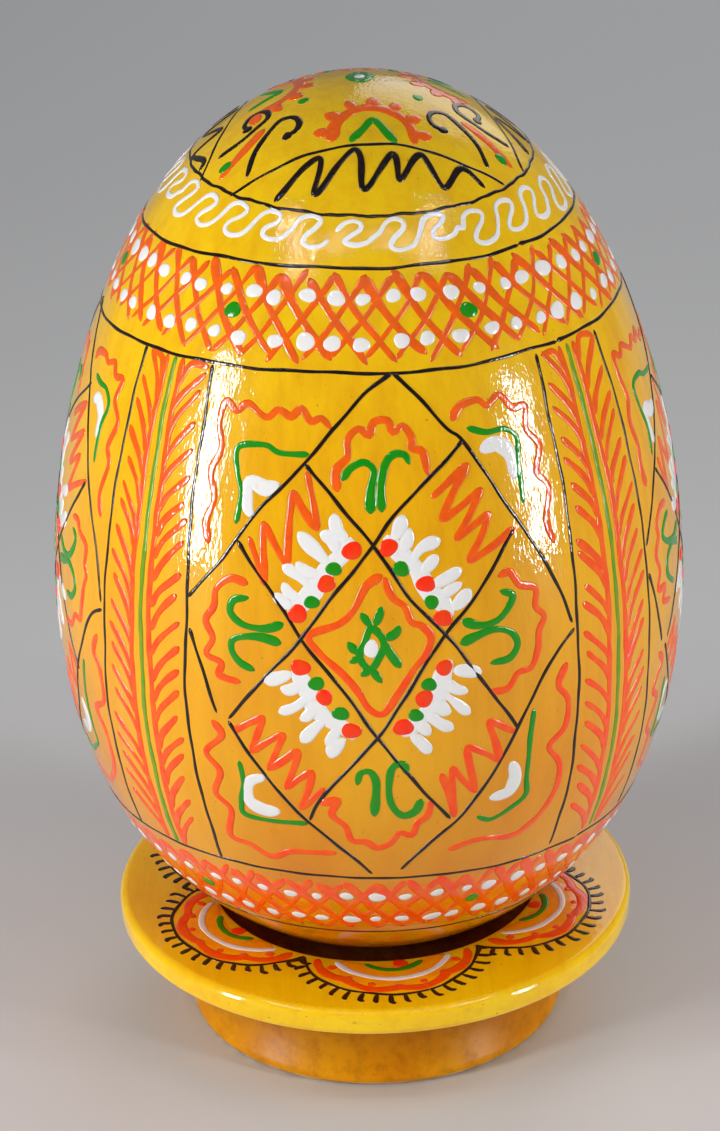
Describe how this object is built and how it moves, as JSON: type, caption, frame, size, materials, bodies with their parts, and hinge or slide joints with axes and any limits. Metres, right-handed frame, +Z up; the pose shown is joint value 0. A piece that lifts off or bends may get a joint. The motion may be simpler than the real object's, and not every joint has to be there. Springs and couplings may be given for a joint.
{
  "type": "painted wooden egg on a stand",
  "caption": "Large turned wooden egg with painted folk patterns, standing blunt end down in a cup on a round plate and foot; it turns on a dowel and lifts off.",
  "frame": {"origin": "centre of the flat ring on the foot's underside", "axes": "+Z up along the egg's own axis; the egg's front panel faces -Y"},
  "size_m": [0.1058, 0.1058, 0.17],
  "materials": {
    "egg_lacquer": "gloss lacquer over painted folk patterns",
    "plate_lacquer": "gloss lacquer over painted flowers",
    "foot_lacquer": "gloss lacquer",
    "bare_wood": "bare turned wood"
  },
  "bodies": {
    "stand": {"stand_foot": "foot_lacquer", "stand_plate": "plate_lacquer"},
    "dowel": {"locating_peg": "bare_wood"},
    "egg": {"egg_body": "egg_lacquer"}
  },
  "joints": [
    {"name": "egg_turn", "type": "hinge", "parent": "stand", "child": "dowel", "pos_m": [0, 0, 0.0063], "axis": [0, 0, 1], "continuous": true},
    {"name": "egg_lift", "type": "slide", "parent": "dowel", "child": "egg", "axis": [0, 0, 1], "range_m": [0, 0.04]}
  ]
}
